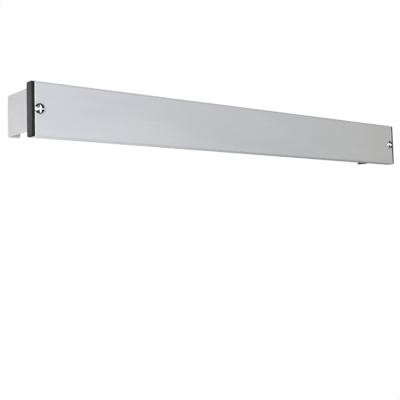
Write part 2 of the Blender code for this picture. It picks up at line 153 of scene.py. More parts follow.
def mixed_colour(tree, share, first, second):
    """A colour between two, each a fixed colour or another mix."""
    mix = tree.nodes.new("ShaderNodeMix")
    mix.data_type = "RGBA"
    tree.links.new(share, mix.inputs["Factor"])
    for place, colour in ((mix_first, first), (mix_second, second)):
        if isinstance(colour, tuple):
            mix.inputs[place].default_value = (*colour, 1)
        else:
            tree.links.new(colour, mix.inputs[place])
    return mix.outputs[mix_result]


def raised(tree, shader, height, strength, depth):
    """Bump from a height value, with its depth in metres."""
    bump = tree.nodes.new("ShaderNodeBump")
    bump.inputs["Strength"].default_value = strength
    bump.inputs["Distance"].default_value = depth
    tree.links.new(height, bump.inputs["Height"])
    tree.links.new(bump.outputs["Normal"], shader.inputs["Normal"])


def satin_aluminium():
    """Anodised extrusion: long die lines over soft clouds of tone.

    On the front, the colour leans to the edges' painted shade by the height. By the length, it leans to the
    bright one at both ends and then to the painted shade in the seams.
    """
    finish, tree, shader = new_finish("satin_aluminium", metallic=0.05, specular=0.0)
    lines = noise(tree, bumps=(5, 900, 900), detail=4.0)
    clouds = noise(tree, bumps=(4, 20, 20), detail=3.0)
    line_tone = spread(tree, lines, (0.3, 0.7), (0, 0.4))
    cloud_tone = spread(tree, clouds, (0.3, 0.7), (0, 0.6))
    silver = mixed_colour(tree, combine(tree, "ADD", line_tone, cloud_tone), panel_silver, panel_pale)
    split = tree.nodes.new("ShaderNodeSeparateXYZ")
    tree.links.new(place_in_part(tree, (1, 1, 1)), split.inputs["Vector"])
    along, back, up = split.outputs
    begins, full, fades, gone = [panel_high.z - depth for depth in edge_line]
    # The line under the upper edge and the lower edge are painted shade, on the front only
    line_in = spread(tree, up, (begins, full), (0, 0.6))
    line_out = spread(tree, up, (fades, gone), (1, 0))
    lower = spread(tree, up, (panel_low.z + edge_core * edge_width, panel_low.z + edge_width), (0.8, 0))
    edges = combine(tree, "ADD", combine(tree, "MULTIPLY", line_in, line_out), lower)
    front = spread(tree, back, (panel_low.y, panel_low.y + panel_corner), (1, 0))
    silver = mixed_colour(tree, combine(tree, "MULTIPLY", edges, front), silver, panel_edge_shade)
    to_end = combine(tree, "ABSOLUTE", along, 0.0)
    ends = spread(tree, to_end, (panel_high.x - end_width, panel_high.x - end_core * end_width), (0, 1))
    ends = combine(tree, "MULTIPLY", ends, spread(tree, lines, (0.2, 0.6), (0.7, 1)))
    silver = mixed_colour(tree, ends, silver, panel_bright)
    # The seams to the caps are painted dark as shade
    left = spread(tree, along, (panel_low.x + seam_core * seam_left, panel_low.x + seam_left), (1, 0))
    right = spread(tree, along, (panel_high.x - seam_right, panel_high.x - seam_core * seam_right), (0, 1))
    seams = combine(tree, "ADD", left, right)
    tree.links.new(mixed_colour(tree, seams, silver, panel_seam_shade), shader.inputs["Base Color"])
    tree.links.new(spread(tree, lines, (0.2, 0.8), (0.44, 0.56)), shader.inputs["Roughness"])
    raised(tree, shader, lines, strength=0.12, depth=0.00015)
    return finish


def welded(mesh):
    """Merge the points of a mesh that lie on top of each other, and drop the faces that this closes."""
    shape = bmesh.new()
    shape.from_mesh(mesh)
    bmesh.ops.remove_doubles(shape, verts=shape.verts, dist=weld_gap)
    bmesh.ops.dissolve_degenerate(shape, edges=shape.edges, dist=weld_gap)
    shape.to_mesh(mesh)
    shape.free()


def skinned(name, rings, finish, ends="fan"):
    """A closed piece from rings of points, an array of rings by points by three.

    Each ring joins the next in quads. The first and last ring are closed by a fan from their middle or, for
    an outline that turns in, by one face, or they join each other. The sign of the volume turns the faces
    outwards.
    """
    count, around = rings.shape[:2]
    points = np.concatenate([rings.reshape(-1, 3), [rings[0].mean(axis=0), rings[-1].mean(axis=0)]])
    index = np.arange(count * around).reshape(count, around)
    after = np.roll(index, -1, axis=1)
    quads = np.stack([index, after, np.roll(after, -1, axis=0), np.roll(index, -1, axis=0)], axis=-1)
    quads = (quads if ends == "loop" else quads[:-1]).reshape(-1, 4)
    first = np.stack([np.full(around, count * around), after[0], index[0]], axis=-1)
    last = np.stack([np.full(around, count * around + 1), index[-1], after[-1]], axis=-1)
    fans = np.concatenate([first, last])[:0 if ends == "loop" else None]
    corners = points[np.concatenate([quads[:, [0, 1, 2]], quads[:, [0, 2, 3]], fans])]
    volume = np.einsum("ij,ij->i", corners[:, 0], np.cross(corners[:, 1], corners[:, 2])).sum()
    turn = 1 if volume > 0 else -1
    closing = [index[0][::-1], index[-1]] if ends == "face" else fans
    faces = quads[:, ::turn].tolist() + [face[::turn].tolist() for face in closing]
    points = points if ends == "fan" else points[:-2]
    mesh = bpy.data.meshes.new(name)
    mesh.from_pydata(points.tolist(), [], faces)
    welded(mesh)
    mesh.shade_smooth()
    mesh.materials.append(finish)
    piece = bpy.data.objects.new(name, mesh)
    bpy.context.scene.collection.objects.link(piece)
    return piece


def carved(piece, other, operation):
    """Join another piece to this one or cut it out of this one, and drop the other."""
    step = piece.modifiers.new(operation, "BOOLEAN")
    step.operation = operation
    step.solver = "EXACT"
    step.object = other
    bpy.context.view_layer.update()
    graph = bpy.context.evaluated_depsgraph_get()
    mesh = bpy.data.meshes.new_from_object(piece.evaluated_get(graph))
    piece.modifiers.clear()
    welded(mesh)
    piece.data = mesh
    bpy.data.objects.remove(other)


def fitted(piece, node, body, sharp=sharp_turn):
    """Put a finished piece in the place of its node, with edges over so many degrees shaded sharp."""
    piece.data.set_sharp_from_angle(angle=math.radians(sharp))
    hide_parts(node)
    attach(piece, body)


def eased_outline(corners, radii, steps):
    """An outline of right-angled corners, each drawn as a quarter circle.

    A point of the quarter lies off its corner by the radius times one less the sine towards the corner
    before, and by the radius times one less the cosine towards the corner after.
    """
    turn = np.linspace(0, math.pi / 2, steps + 1)[:, None]
    to_before = np.roll(corners, 1, axis=0) - corners
    to_after = np.roll(corners, -1, axis=0) - corners
    to_before = to_before / np.linalg.norm(to_before, axis=1)[:, None]
    to_after = to_after / np.linalg.norm(to_after, axis=1)[:, None]
    eased = (1 - np.sin(turn)) * to_before[:, None] + (1 - np.cos(turn)) * to_after[:, None]
    return (corners[:, None] + radii[:, None, None] * eased).reshape(-1, 2)


def round_turn(count):
    """The angles of so many points, evenly round a circle."""
    return np.linspace(0, 2 * math.pi, count + 1)[:-1]


def bar_rings(start, end, radius, travel=0.0):
    """A round bar from one point to another along X or Y, whose halves lie apart by the travel, up and down.

    The sine is rounded, so that the two points at the sides stay at mid height.
    """
    start, end = np.array(start), np.array(end)
    side = np.cross(end - start, (0, 0, 1)) / np.linalg.norm(end - start)
    turn = round_turn(bar_points)
    up = radius * np.sin(turn) + travel * np.sign(np.round(np.sin(turn), 6))
    circle = radius * np.cos(turn)[:, None] * side + up[:, None] * np.array((0, 0, 1))
    return np.stack([start + circle, end + circle])


def panel_rings(low, high):
    """The extrusion: its section, the same above and below, carried along X."""
    floor = low.y + panel_wall
    inner = floor + channel_depth
    outer = inner + panel_wall
    block = port_inset + port_radius + port_wall
    under = high.z - panel_wall
    upper = np.array([
        (floor, channel_half), (inner, channel_half), (inner, channel_mouth), (outer, channel_mouth),
        (outer, channel_half + panel_wall), (floor, channel_half + panel_wall),
        (floor, high.z - block), (low.y + block, high.z - block), (low.y + block, under),
        (high.y - panel_wall, under), (high.y - panel_wall, under - panel_lip), (high.y, under - panel_lip),
        (high.y, high.z), (low.y, high.z)])
    radii = np.full(len(upper), die_corner)
    radii[-2:] = panel_corner
    corners = np.concatenate([upper, upper[::-1] * (1, -1)])
    y, z = eased_outline(corners, np.concatenate([radii, radii[::-1]]), die_corner_steps).T
    along = np.linspace(low.x, high.x, panel_stations)[:, None]
    return np.stack([along + 0 * y, y + 0 * along, z + 0 * along], axis=-1)


panel_finish = satin_aluminium()
panel = skinned("front_panel_extrusion", panel_rings(panel_low, panel_high), panel_finish, "face")
for port_z in (panel_low.z + port_inset, panel_high.z - port_inset):
    port_y = panel_low.y + port_inset
    start, end = panel_low.x - panel_wall, panel_high.x + panel_wall
    port = bar_rings((start, port_y, port_z), (end, port_y, port_z), port_radius)
    carved(panel, skinned("port", port, panel_finish), "DIFFERENCE")
for side in ("left", "right"):
    low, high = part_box("panel_screw_" + side)
    hole_x, hole_z = (low.x + high.x) / 2, (low.z + high.z) / 2
    start, end = panel_low.y - panel_wall, panel_low.y + 2 * panel_wall
    hole = bar_rings((hole_x, start, hole_z), (hole_x, end, hole_z), panel_hole)
    carved(panel, skinned("hole", hole, panel_finish), "DIFFERENCE")
fitted(panel, "front_panel", "rail")

# The end caps are black plastic mouldings with smooth dark rims and a fine grain on the slightly crowned
# outer face. Each closes the panel's end and holds by two ribbed pegs pushed into the ports of the extrusion.
cap_black = (0.007, 0.007, 0.0075)
cap_dark = (0.034, 0.034, 0.035)
cap_grey = (0.052, 0.052, 0.053)
cap_rubbed = (0.095, 0.094, 0.096)
cap_thickness = 0.0047
cap_corner = 0.003
cap_corner_steps = 8
cap_edge_points, cap_crown_points = 9, 12
cap_edge = 0.0005
cap_crown = 0.00015
cap_rim = 0.0045
# Rings on the inner face, as shares of the half depth, then how far in and up the two at its edge lie
cap_back_rings = (0.97, 0.5, 0.1, 0.03)
cap_foot_in = (0.00008, 0.0)
cap_foot_up = (0.00006, 0.0003)
# Corners of inner rings get no tighter than this share of the ring's half width
least_corner = 0.3
peg_radius = 0.002
peg_length = 0.014
# The peg starts inside the cap, and its rings past that lie at these shares of its length
peg_root = 0.0015
peg_rings_along = (0.0, 0.3, 0.9, 0.97, 1.0)
peg_taper = (1.0, 1.0, 1.0, 0.97, 0.88, 0.72)
crush_ribs = 3
crush_swell = 0.06


def corner_ring(half_across, half_up, radii, steps):
    """Rounded rectangles: quarter circles about the inner corners, going round from the upper right one.

    The half sizes hold one value per ring, and radii holds four per ring. The result is two arrays, each of
    rings by points.
    """
    quarter = np.linspace(0, math.pi / 2, steps + 1)
    angle = (quarter + np.arange(4)[:, None] * math.pi / 2).ravel()
    radius = np.repeat(radii, steps + 1, axis=1)
    right = np.repeat([1, -1, -1, 1], steps + 1)
    top = np.repeat([1, 1, -1, -1], steps + 1)
    across = right * (half_across[:, None] - radius) + radius * np.cos(angle)
    up = top * (half_up[:, None] - radius) + radius * np.sin(angle)
    return across, up


def mark(piece, name, values):
    """Keep one number per point of a piece, which its material can read."""
    piece.data.attributes.new(name, "FLOAT", "POINT").data.foreach_set("value", values)


def points_of(piece):
    """The points of a piece as an array."""
    flat = np.zeros(len(piece.data.vertices) * 3)
    piece.data.vertices.foreach_get("co", flat)
    return flat.reshape(-1, 3)


def marked(tree, name):
    """The number that was kept on the piece's points."""
    reader = tree.nodes.new("ShaderNodeAttribute")
    reader.attribute_name = name
    return reader.outputs["Fac"]


def ramp(value, start, end):
    """Zero at the start, one at the end, and between them three times the share squared less twice its cube.

    The end may lie below the start.
    """
    share = np.clip((value - start) / (end - start), 0, 1)
    return share * share * (3 - 2 * share)


def grained_black_plastic():
    """Moulded plastic: a grained, greyer face with flow streaks and rubbed spots, and a smooth black rim."""
    finish, tree, shader = new_finish("grained_black_plastic", metallic=0.0, specular=0.2)
    grain = noise(tree, bumps=(2600, 2600, 2600), detail=2.0)
    flow = noise(tree, bumps=(300, 300, 12), detail=3.0)
    spots = noise(tree, bumps=(150, 150, 90), detail=3.0)
    face = mixed_colour(tree, spread(tree, flow, (0.3, 0.7), (0, 1)), cap_dark, cap_grey)
    spots = spread(tree, spots, (0.58, 0.75), (0, 0.8))
    wear_and_painted_light = combine(tree, "MULTIPLY", spots, spread(tree, grain, (0.35, 0.65), (0, 1)))
    face = mixed_colour(tree, wear_and_painted_light, face, cap_rubbed)
    grained = combine(tree, "MULTIPLY", marked(tree, "grained"), spread(tree, grain, (0.3, 0.6), (0.85, 1)))
    tree.links.new(mixed_colour(tree, grained, cap_black, face), shader.inputs["Base Color"])
    tree.links.new(spread(tree, grain, (0.3, 0.7), (0.42, 0.58)), shader.inputs["Roughness"])
    raised(tree, shader, grain, strength=0.25, depth=0.0001)
    return finish


def cap_rings(low, high, outward):
    """The cap's plate: outlines drawn in from its edge, from its inner face round the rim to the crown.

    The rim is a quarter circle, and the crown a parabola over the distance from the rim.
    """
    half_depth = (high.y - low.y) / 2
    half_height = (high.z - low.z) / 2
    bend = np.linspace(0, math.pi / 2, cap_edge_points)
    over = np.linspace(cap_edge, half_depth * cap_back_rings[0], cap_crown_points)[1:]
    back = half_depth * np.array(cap_back_rings)
    inset = np.concatenate([back, cap_foot_in, cap_edge * (1 - np.cos(bend)), over])
    rim = cap_thickness - cap_crown - cap_edge + cap_edge * np.sin(bend)
    crown = cap_thickness - cap_crown * (1 - (over - cap_edge) / (half_depth - cap_edge)) ** 2
    height = np.concatenate([0 * back, cap_foot_up, rim, crown])
    radii = np.maximum(cap_corner - inset, least_corner * (half_depth - inset))
    radii = np.repeat(radii[:, None], 4, axis=1)
    across, up = corner_ring(half_depth - inset, half_height - inset, radii, cap_corner_steps)
    face = high.x if outward > 0 else low.x
    x = face - outward * (cap_thickness - height[:, None] + 0 * across)
    return np.stack([x, (low.y + high.y) / 2 + across, (low.z + high.z) / 2 + up], axis=-1)


def peg_rings(face, outward, y, z):
    """A peg from inside the cap to its tapered tip: a circle whose radius swells by a cosine to each rib."""
    turn = round_turn(bar_points)
    along = np.concatenate([[-peg_root], peg_length * np.array(peg_rings_along)])
    swell = 1 - crush_swell + crush_swell * np.cos(crush_ribs * turn)
    radius = peg_radius * np.array(peg_taper)[:, None] * swell
    x = face - outward * along[:, None] + 0 * radius
    return np.stack([x, y + radius * np.cos(turn), z + radius * np.sin(turn)], axis=-1)


cap_finish = grained_black_plastic()
for side, outward in (("left", -1), ("right", 1)):
    low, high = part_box("end_cap_" + side)
    cap = skinned("end_cap_%s_moulding" % side, cap_rings(low, high, outward), cap_finish)
    inner = (high.x if outward > 0 else low.x) - outward * cap_thickness
    for peg_z in (low.z + port_inset, high.z - port_inset):
        peg = peg_rings(inner, outward, low.y + port_inset, peg_z)
        carved(cap, skinned("peg", peg, cap_finish), "UNION")
    x, y, z = points_of(cap).T
    inset = np.min([y - low.y, high.y - y, high.z - np.abs(z)], axis=0)
    outer_face = outward * (x - inner) > cap_thickness / 2
    mark(cap, "grained", outer_face * ramp(inset, 2 * cap_edge, cap_rim))
    fitted(cap, "end_cap_" + side, "rail")

# The two brackets are steel sheet, punched flat, folded twice and powder coated light grey. Each has two
# fixing holes and a slot that lets the panel be levelled. The finish has a slight orange peel, and its upper
# and lower edges carry painted shade.
bracket_grey = (0.57, 0.567, 0.578)
bracket_pale = (0.625, 0.622, 0.63)
bracket_edge_shade = (0.50, 0.50, 0.505)
sheet = 0.0025
sheet_edge = 0.0004
sheet_edge_steps = 3
bend_middle = 0.00225
wall_flange = 0.0245
front_flange = 0.022
flange_corner = 0.004
flange_points, bend_points, side_points = 14, 25, 12
wall_hole = 0.00325
wall_hole_up = 0.025
slot_half = 0.0033
slot_travel = 0.0035
# Distances from the upper and lower edges at which the rim's painted shade begins and is full
rim_begins = 0.0014
rim_full = 0.0002


def powder_coat():
    """Powder coat: dimples about 2 mm across, slow change of tone, and rims darkened by painted shade."""
    finish, tree, shader = new_finish("light_grey_powder_coat", metallic=0.0, specular=0.3)
    peel = noise(tree, bumps=(520, 520, 520), detail=2.0)
    clouds = noise(tree, bumps=(24, 24, 24), detail=3.0)
    base = mixed_colour(tree, spread(tree, clouds, (0.3, 0.7), (0, 1)), bracket_grey, bracket_pale)
    # The darker rims are painted shade
    wear_and_painted_light = combine(tree, "MULTIPLY", marked(tree, "rim"), spread(tree, peel, (0.35, 0.6), (0.2, 0.8)))
    tree.links.new(mixed_colour(tree, wear_and_painted_light, base, bracket_edge_shade), shader.inputs["Base Color"])
    tree.links.new(spread(tree, peel, (0.3, 0.7), (0.42, 0.54)), shader.inputs["Roughness"])
    raised(tree, shader, peel, strength=0.08, depth=0.0002)
    return finish


def bracket_rings(low, high, outward):
    """The folded sheet: its thin rounded section carried along the blank, which turns square at each bend.

    The place along the path is the running sum of the heading, and near both free edges the section gets
    shorter along a quarter circle, which rounds the flanges' corners.
    """
    bend = bend_middle * math.pi / 2
    depth = bend_middle + sheet / 2
    flats = (wall_flange - depth, high.y - low.y - 2 * depth, front_flange - depth)
    length = sum(flats) + 2 * bend
    first = flats[0]
    second = flats[0] + bend + flats[1]
    free = flange_corner * (1 - np.cos(np.linspace(0, math.pi / 2, flange_points)))
    turns = np.linspace(0, bend, bend_points)
    side_run = np.linspace(first + bend, second, side_points)[1:-1]
    run = np.concatenate([free, first + turns, side_run, second + turns, length - free[::-1]])
    turned = np.clip((run - first) / bend, 0, 1) + np.clip((run - second) / bend, 0, 1)
    heading = math.pi / 2 * (1 - turned)
    between = (heading[1:] + heading[:-1]) / 2
    step = np.diff(run)
    x = np.concatenate([[0], np.cumsum(np.sin(between) * step)])
    y = np.concatenate([[0], np.cumsum(-np.cos(between) * step)])
    edge = np.minimum(run, length - run)
    corner = flange_corner - np.minimum(edge, flange_corner)
    half_up = (high.z - low.z) / 2 - flange_corner + np.sqrt(flange_corner ** 2 - corner ** 2)
    thin = sheet_edge - np.minimum(edge, sheet_edge)
    half_across = sheet / 2 - sheet_edge + np.sqrt(sheet_edge ** 2 - thin ** 2)
    across, up = corner_ring(half_across, half_up, np.full((len(run), 4), sheet_edge), sheet_edge_steps)
    out = x.max() + sheet / 2
    x = (x - out)[:, None] + across * np.cos(heading)[:, None]
    y = high.y - sheet / 2 + y[:, None] + across * np.sin(heading)[:, None]
    face = high.x if outward > 0 else low.x
    return np.stack([face + outward * x, y, (low.z + high.z) / 2 + up], axis=-1)


bracket_finish = powder_coat()
left_low, left_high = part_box("wall_bracket_left")
right_low, right_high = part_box("wall_bracket_right")
slot_drop = (left_low.z + left_high.z + right_low.z + right_high.z) / 4
for side, outward in (("left", -1), ("right", 1)):
    low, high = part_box("wall_bracket_" + side)
    screw_low, screw_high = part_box("panel_screw_" + side)
    middle_z = (low.z + high.z) / 2
    bracket = skinned("wall_bracket_%s_folded" % side, bracket_rings(low, high, outward), bracket_finish)
    free_edge = low.x + sheet_edge if outward > 0 else high.x - sheet_edge
    hole_x = free_edge + outward * (wall_flange - sheet / 2 - bend_middle) / 2
    for hole_z in (middle_z - wall_hole_up, middle_z + wall_hole_up):
        punch = bar_rings((hole_x, high.y - 2 * sheet, hole_z), (hole_x, high.y + sheet, hole_z), wall_hole)
        carved(bracket, skinned("punch", punch, bracket_finish), "DIFFERENCE")
    slot_x = (screw_low.x + screw_high.x) / 2
    slot_z = middle_z - slot_drop
    start, end = (slot_x, low.y - sheet, slot_z), (slot_x, low.y + 2 * sheet, slot_z)
    punch = bar_rings(start, end, slot_half, slot_travel)
    carved(bracket, skinned("punch", punch, bracket_finish), "DIFFERENCE")
    to_edge = (high.z - low.z) / 2 - np.abs(points_of(bracket)[:, 2] - middle_z)
    # Marks the rims that get the painted shade
    mark(bracket, "rim", ramp(to_edge, rim_begins, rim_full))
    fitted(bracket, "wall_bracket_" + side, "rail")

# The panel screws are turned steel with a low domed head, a large cross recess and a rolled M6 thread. The
# head is plated dark and polished. The recess is bright, partly from wear and partly as painted reflection,
# and a wedge to its left, a patch on the left head and the rim's inner and lower side are painted highlights.
head_dark = (0.018, 0.021, 0.024)
head_scratch = (0.10, 0.105, 0.11)
head_bare_and_highlight = (0.93, 0.94, 0.95)
panel_head = 0.0095
head_rim = 0.0013
head_crown = 0.00168
head_rings, head_points = 110, 192
rim_points = 6
head_sharp_turn = 45
rim_round = 0.0005
recess_reach = 0.0072
recess_root = 0.0017
recess_tip = 0.00075
recess_depth = 0.0018
recess_rise = 0.35
recess_wall = 0.00022
panel_shank = 0.003
panel_shank_length = 0.0208
plain_shank = 0.0095
thread_pitch = 0.001
thread_depth = 0.00045
thread_fade = 0.0015
shank_rings = 130
# Under the head: how far its lower edge is eased, and how far out and down the neck reaches
seat_ease = 0.0002
neck_out = 0.0006
neck_down = 0.0005
shank_start = 0.0012
# The shank's end is bevelled this far along and in. Its pole ring has this radius, the head's this share
tail_along = 0.0004
tail_in = 0.0007
tail_pole = 0.0004
head_pole = 0.004
# Painted highlight wedge on a head, in shares of its radius: its level, half width, flare, soft edge and
# beginning
wedge_level = {"left": -0.08, "right": 0.14}
wedge_half = 0.16
wedge_flare = 0.30
wedge_fade = 0.12
wedge_begins = (-0.05, 0.15)
# How strong each head's painted highlight patch is, where up on its left, in which fainter patch, and where
# it stops
highlight_patch = {"left": 0.3, "right": 0.0}
patch_left = (0.15, 0.45)
patch_up = (0.2, 0.4)
faint_patch = 0.3
faint_left = (0.1, 0.3)
patch_stops = (0.6, 0.8)
# A painted highlight lies on the rim outside a disc set outwards and up by these lengths. It rises between
# these shares of the head's radius, to this brightness
rim_disc_out = 0.001
rim_disc_up = 0.0005
rim_highlight_ends = (0.95, 1.01)
rim_highlight = 0.8
# Depths behind the head's seat that tell its face from its shank, and how bright the shank is
face_ends = -0.0003
shank_begins = 0.0001
shank_bright = 0.5


def cross_recess(across, up):
    """Share of the full recess at a point of the head: one inside the four tapering arms, zero outside."""
    share = np.zeros_like(across)
    soft = recess_wall / 2
    for along, aside in ((np.abs(across), np.abs(up)), (np.abs(up), np.abs(across))):
        run = np.clip((along - recess_root) / (recess_reach - recess_root), 0, 1)
        half = recess_root + (recess_tip - recess_root) * run
        arm = ramp(aside, half + soft, half - soft) * ramp(along, recess_reach + soft, recess_reach - soft)
        share = np.maximum(share, arm)
    return share


def cross_head(across, up):
    """Height of the panel screw's head over its seat: a parabola of the radius, less the recess."""
    radius = np.hypot(across, up)
    depth = recess_depth * (1 - recess_rise * (radius / recess_reach) ** 2)
    return head_rim + head_crown * (1 - (radius / panel_head) ** 2) - depth * cross_recess(across, up)


def thread_wave(turn, along):
    """A triangle wave from 0 to 1 of the turn plus the place along the thread, in pitches."""
    return np.abs(((turn / (2 * math.pi) + along / thread_pitch) % 1) * 2 - 1)


def screw_rings(centre, outward, head, face, shank, length, plain, rings, around):
    """A screw from the middle of its head to the end of its shank, turned about Y.

    The head's height is the function face, with a quarter circle at its rim. The shank is a cylinder, and
    past its plain length the radius dips with a triangle wave of height and turn, which is the thread.
    """
    turn = round_turn(around)
    level = np.ones_like(turn)
    radius = np.linspace(head_pole, 1, rings)[:, None] * (head - rim_round) * level
    rise = face(radius * np.cos(turn), radius * np.sin(turn))
    bend = np.linspace(0, math.pi / 2, rim_points)[1:]
    rim_radius = head - rim_round * (1 - np.sin(bend))
    rim_radius = np.concatenate([rim_radius, [head, head - seat_ease, shank + neck_out, shank]])
    rim_rise = rise[-1].max() - rim_round * (1 - np.cos(bend))
    rim_rise = np.concatenate([rim_rise, [seat_ease, 0.0, 0.0, -neck_down]])
    drop = np.linspace(shank_start, length - tail_along, shank_rings)[:, None]
    thread = shank - thread_depth * thread_wave(turn, -drop) * ramp(drop, plain, plain + thread_fade)
    tail = np.array([[shank - tail_in], [tail_pole]]) * level
    radius = np.concatenate([radius, rim_radius[:, None] * level, thread, tail])
    rise = np.concatenate([rise, rim_rise[:, None] * level, -drop * level, np.full((2, around), -length)])
    x, y, z = centre
    return np.stack([x + radius * np.cos(turn), y + outward * rise, z + radius * np.sin(turn)], axis=-1)


def head_wear_and_highlights(across, up, side, outward):
    """Bright share on the head: largest of the recess, partly worn, and painted highlight wedge, patch and
    rim.
    """
    left, high = -across / panel_head, up / panel_head
    half = wedge_half + wedge_flare * np.clip(left, 0, 1)
    wedge = ramp(half - np.abs(high - wedge_level[side]), 0, wedge_fade) * ramp(left, *wedge_begins)
    patch = np.maximum(ramp(left, *patch_left) * ramp(high, *patch_up), faint_patch * ramp(left, *faint_left))
    patch = highlight_patch[side] * patch * (1 - ramp(np.hypot(left, high), *patch_stops))
    from_disc = np.hypot(across - outward * rim_disc_out, up - rim_disc_up) / panel_head
    return np.max([cross_recess(across, up), wedge, patch, rim_highlight * ramp(from_disc, *rim_highlight_ends)], axis=0)


def dark_plated_head():
    """Dark polished plating with hair scratches, bright where worn through and where highlights are painted.
    """
    finish, tree, shader = new_finish("dark_plated_head", metallic=1.0, specular=0.5)
    scratches = noise(tree, bumps=(900, 900, 140), detail=3.0, turn=(0, 0.5, 0))
    marks = noise(tree, bumps=(1500, 1500, 1500), detail=2.0)
    dark = mixed_colour(tree, spread(tree, scratches, (0.6, 0.8), (0, 0.6)), head_dark, head_scratch)
    share = combine(tree, "MULTIPLY", marked(tree, "wear_and_painted_light"), spread(tree, marks, (0.2, 0.6), (0.85, 1)))
    tree.links.new(mixed_colour(tree, share, dark, head_bare_and_highlight), shader.inputs["Base Color"])
    tree.links.new(spread(tree, scratches, (0.2, 0.8), (0.12, 0.26)), shader.inputs["Roughness"])
    raised(tree, shader, scratches, strength=0.05, depth=0.00005)
    return finish


head_finish = dark_plated_head()
for side, outward in (("left", -1), ("right", 1)):
    low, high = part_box("panel_screw_" + side)
    centre = ((low.x + high.x) / 2, high.y - panel_shank_length, (low.z + high.z) / 2)
    rings = screw_rings(centre, -1, panel_head, cross_head, panel_shank, panel_shank_length, plain_shank,
                        head_rings, head_points)
    screw = skinned("panel_screw_%s_turned" % side, rings, head_finish)
    across, behind, up = (points_of(screw) - centre).T
    shank_share = shank_bright * (behind > shank_begins)
    # The recess is partly worn, and the wedge, patch and rim are painted highlights
    mark(screw, "wear_and_painted_light", np.where(behind < face_ends, head_wear_and_highlights(across, up, side, outward), shank_share))
    fitted(screw, "panel_screw_" + side, "rail", head_sharp_turn)

# The washers and nuts behind the front flanges are zinc plated steel. The plating is thin, and it shows
# straw coloured patches over a fine grey grain.
zinc_grey = (0.47, 0.47, 0.485)
zinc_pale = (0.60, 0.60, 0.60)
zinc_straw = (0.56, 0.52, 0.42)
washer_bore = 0.0032
washer_edge = 0.0003
washer_edge_steps = 4
washer_points = 96
nut_bore = 0.0031
nut_flat = 0.005
nut_chamfer = 0.00475
nut_chamfer_reach = 0.0006
nut_chamfer_rings = 7
nut_thread_depth = 0.0003
nut_thread_rings = 40
# How far the ends of the bore are bevelled, along it and outwards
nut_lead = 0.0005
nut_lead_out = 0.0006
nut_points = 144
nut_sharp_turn = 20


def zinc_plate():
    """Zinc plating: fine grain, broad patches, and a little straw tint in the patches."""
    finish, tree, shader = new_finish("zinc_plate", metallic=1.0, specular=0.5)
    grain = noise(tree, bumps=(1800, 1800, 1800), detail=3.0)
    patches = noise(tree, bumps=(160, 160, 160), detail=2.0)
    base = mixed_colour(tree, spread(tree, grain, (0.3, 0.7), (0, 1)), zinc_grey, zinc_pale)
    base = mixed_colour(tree, spread(tree, patches, (0.5, 0.7), (0, 0.5)), base, zinc_straw)
    tree.links.new(base, shader.inputs["Base Color"])
    tree.links.new(spread(tree, grain, (0.3, 0.7), (0.3, 0.45)), shader.inputs["Roughness"])
    raised(tree, shader, grain, strength=0.1, depth=0.00005)
    return finish


def about_axis(low, high, radius, turn, y):
    """Points at a radius and turn about the axis along Y through the middle of a box."""
    x = (low.x + high.x) / 2 + radius * np.cos(turn)
    return np.stack([x, y + 0 * radius, (low.z + high.z) / 2 + radius * np.sin(turn)], axis=-1)


def washer_rings(low, high):
    """A washer: a rounded rectangle carried round the screw's axis."""
    outer = (high.x - low.x) / 2
    half_wide = np.array([(outer - washer_bore) / 2])
    half_thick = np.array([(high.y - low.y) / 2])
    across, up = corner_ring(half_wide, half_thick, np.full((1, 4), washer_edge), washer_edge_steps)
    turn = round_turn(washer_points)
    radius = (outer + washer_bore) / 2 + across[0][:, None] + 0 * turn
    return about_axis(low, high, radius, turn, (low.y + high.y) / 2 + up[0][:, None])


def flat_cosine(turn):
    """Cosine of the angle between a direction and the nearest flat of a hexagon."""
    return np.cos((turn + math.pi / 6) % (math.pi / 3) - math.pi / 6)


def nut_rings(low, high):
    """A nut: a hexagon cut back by a cone at both faces, with a threaded bore.

    Outside, the radius is the smaller of the hexagon's and the cone's. Inside, it swells with the thread.
    """
    turn = round_turn(nut_points)
    thick = high.y - low.y
    rise = np.linspace(0, nut_chamfer_reach, nut_chamfer_rings)
    rise = np.concatenate([rise, np.linspace(thick - nut_chamfer_reach, thick, nut_chamfer_rings)])
    cone = nut_chamfer + math.sqrt(3) * np.minimum(rise, thick - rise)
    outside = np.minimum(nut_flat / flat_cosine(turn), cone[:, None])
    down = np.linspace(thick - nut_lead, nut_lead, nut_thread_rings)
    inside = nut_bore + nut_thread_depth * thread_wave(turn, down[:, None])
    lead = np.full((1, len(turn)), nut_bore + nut_lead_out)
    radius = np.concatenate([outside, lead, inside, lead])
    return about_axis(low, high, radius, turn, low.y + np.concatenate([rise, [thick], down, [0]])[:, None])


zinc_finish = zinc_plate()
for side in ("left", "right"):
    rings = washer_rings(*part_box("panel_washer_" + side))
    washer = skinned("panel_washer_%s_ring" % side, rings, zinc_finish, "loop")
    fitted(washer, "panel_washer_" + side, "rail")
    rings = nut_rings(*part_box("panel_nut_" + side))
    nut = skinned("panel_nut_%s_hexagon" % side, rings, zinc_finish, "loop")
    fitted(nut, "panel_nut_" + side, "rail", nut_sharp_turn)

# The hooks are zinc castings in satin black paint: a plate with two holes and a curved arm in one piece.
# Each is clamped to a sliding nut in the panel's channel. Use has rubbed the paint in the seat and on the
# tip, and the underside, which only dry overspray reached, is matt.
hook_black = (0.004, 0.004, 0.0045)
hook_grey = (0.009, 0.009, 0.0095)
hook_rubbed = (0.14, 0.14, 0.145)
satin_gloss = 0.3
hook_count = 7
plate_half = 0.0075
plate_thick = 0.0035
plate_edge = 0.0006
plate_foot = 0.0068
plate_foot_corner = 0.001
plate_corner_steps = 12
plate_edge_points = 6
# Rings on the plate's flat faces, as shares of its half width
plate_face_rings = (0.96, 0.5, 0.15)
hook_hole = 0.0028
hook_holes_up = (0.0368, 0.0488)
arm_half = 0.0035
arm_edge = 0.0012
arm_edge_steps = 4
arm_stations = 121
tip_points = 9
